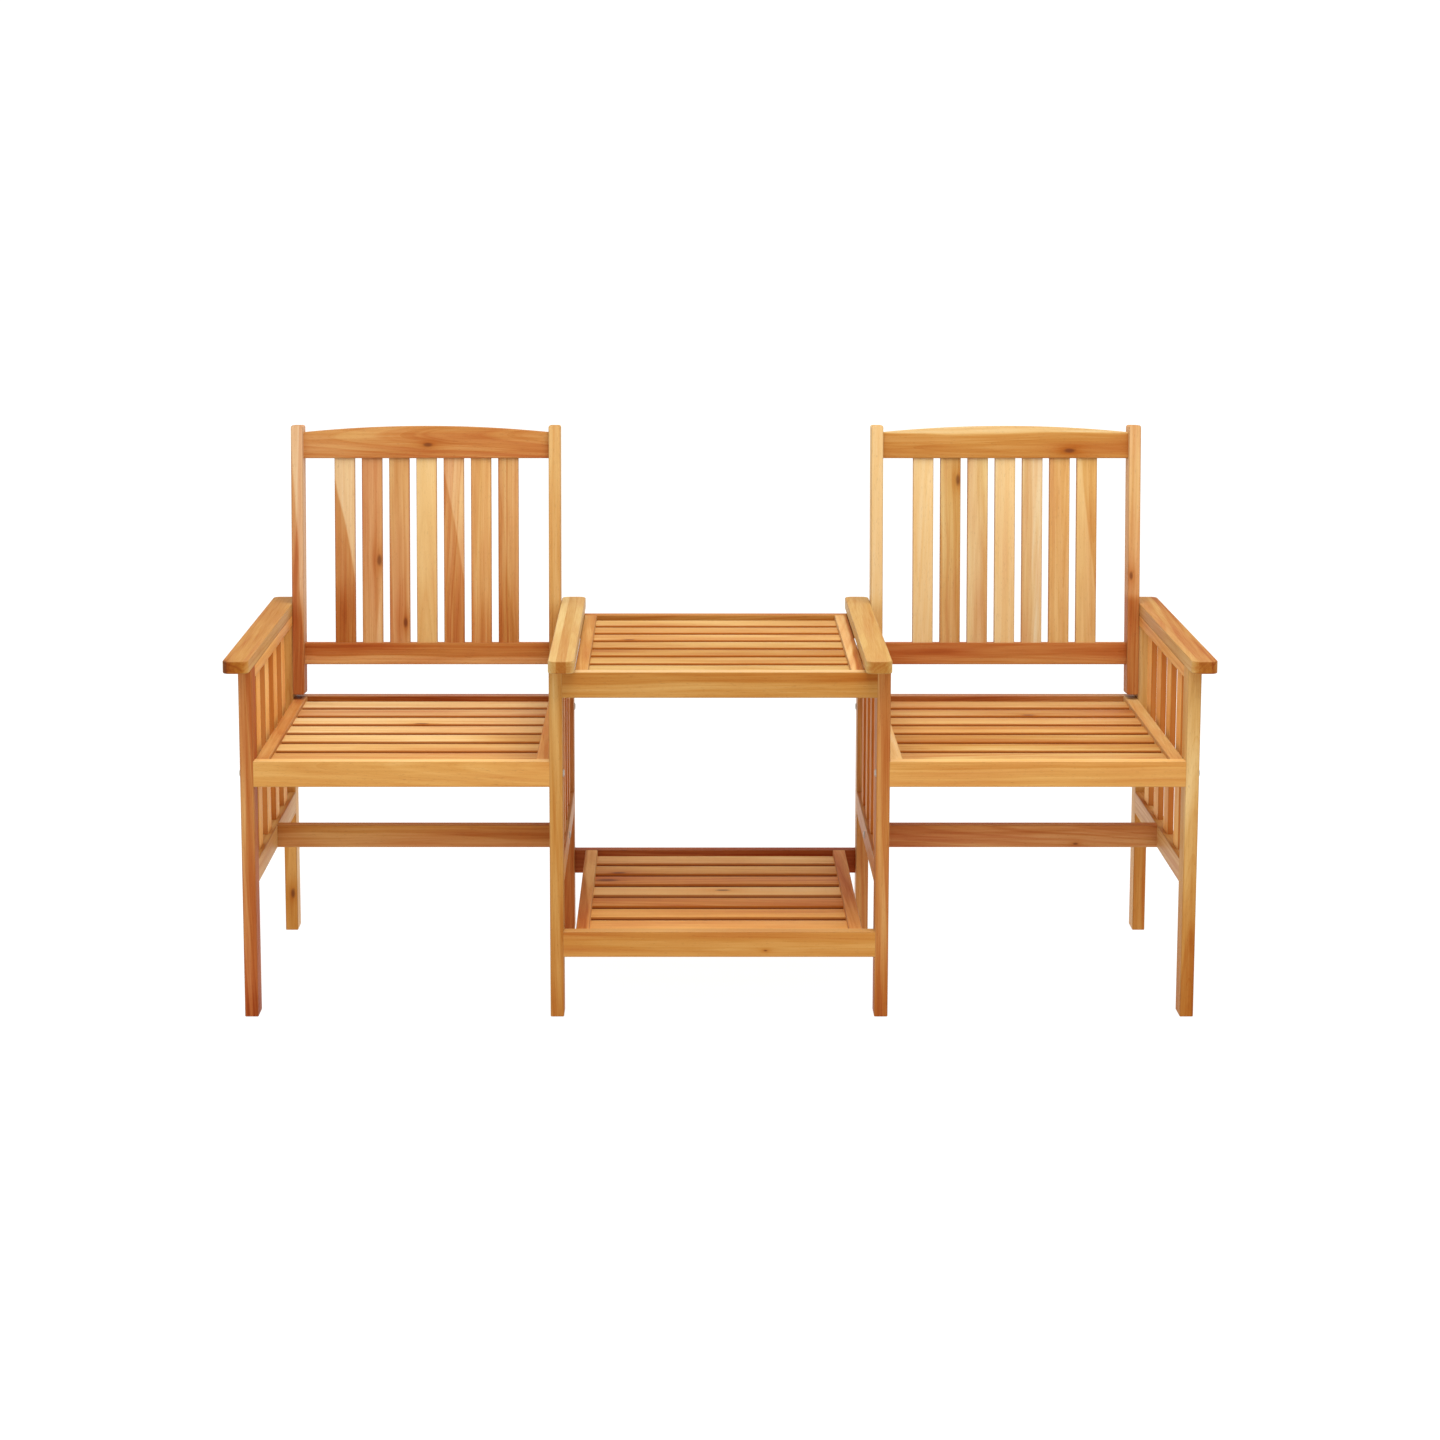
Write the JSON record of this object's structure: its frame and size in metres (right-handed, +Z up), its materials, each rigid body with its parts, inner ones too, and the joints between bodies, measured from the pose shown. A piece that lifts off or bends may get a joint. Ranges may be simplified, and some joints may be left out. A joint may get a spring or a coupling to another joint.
{
  "type": "companion seat bench",
  "caption": "Garden companion seat: slatted wooden armchairs joined side by side by a slatted table with a shelf below.",
  "frame": {"origin": "on the floor, under the middle of the bounding box", "axes": "+X along the bench towards its right-hand chair as seen from the front, +Y from the front to the backrests, +Z up"},
  "size_m": [1.582, 0.634, 0.9082],
  "materials": {
    "acacia": "oiled, satin",
    "steel": "zinc plated"
  },
  "bodies": {
    "root": {"backrest_screws": "steel", "barrel_nuts": "steel", "frame_bolts": "steel", "inner_left_armrest": "acacia", "inner_left_front_leg": "acacia", "inner_left_lower_rail": "acacia", "inner_left_rear_leg": "acacia", "inner_left_side_slats": "acacia", "inner_left_upper_rail": "acacia", "inner_right_armrest": "acacia", "inner_right_front_leg": "acacia", "inner_right_lower_rail": "acacia", "inner_right_rear_leg": "acacia", "inner_right_side_slats": "acacia", "inner_right_upper_rail": "acacia", "left_back_left_post": "acacia", "left_back_lower_rail": "acacia", "left_back_right_post": "acacia", "left_back_slats": "acacia", "left_back_top_rail": "acacia", "left_seat_front_rail": "acacia", "left_seat_left_member": "acacia", "left_seat_rear_rail": "acacia", "left_seat_right_member": "acacia", "left_seat_slats": "acacia", "left_stretcher": "acacia", "outer_left_armrest": "acacia", "outer_left_front_leg": "acacia", "outer_left_lower_rail": "acacia", "outer_left_rear_leg": "acacia", "outer_left_side_slats": "acacia", "outer_left_upper_rail": "acacia", "outer_right_armrest": "acacia", "outer_right_front_leg": "acacia", "outer_right_lower_rail": "acacia", "outer_right_rear_leg": "acacia", "outer_right_side_slats": "acacia", "outer_right_upper_rail": "acacia", "right_back_left_post": "acacia", "right_back_lower_rail": "acacia", "right_back_right_post": "acacia", "right_back_slats": "acacia", "right_back_top_rail": "acacia", "right_seat_front_rail": "acacia", "right_seat_left_member": "acacia", "right_seat_rear_rail": "acacia", "right_seat_right_member": "acacia", "right_seat_slats": "acacia", "right_stretcher": "acacia", "shelf_front_rail": "acacia", "shelf_left_member": "acacia", "shelf_rear_rail": "acacia", "shelf_right_member": "acacia", "shelf_slats": "acacia", "table_and_shelf_screws": "steel", "table_front_rail": "acacia", "table_left_member": "acacia", "table_rear_rail": "acacia", "table_right_member": "acacia", "table_slats": "acacia"}
  },
  "joints": []
}
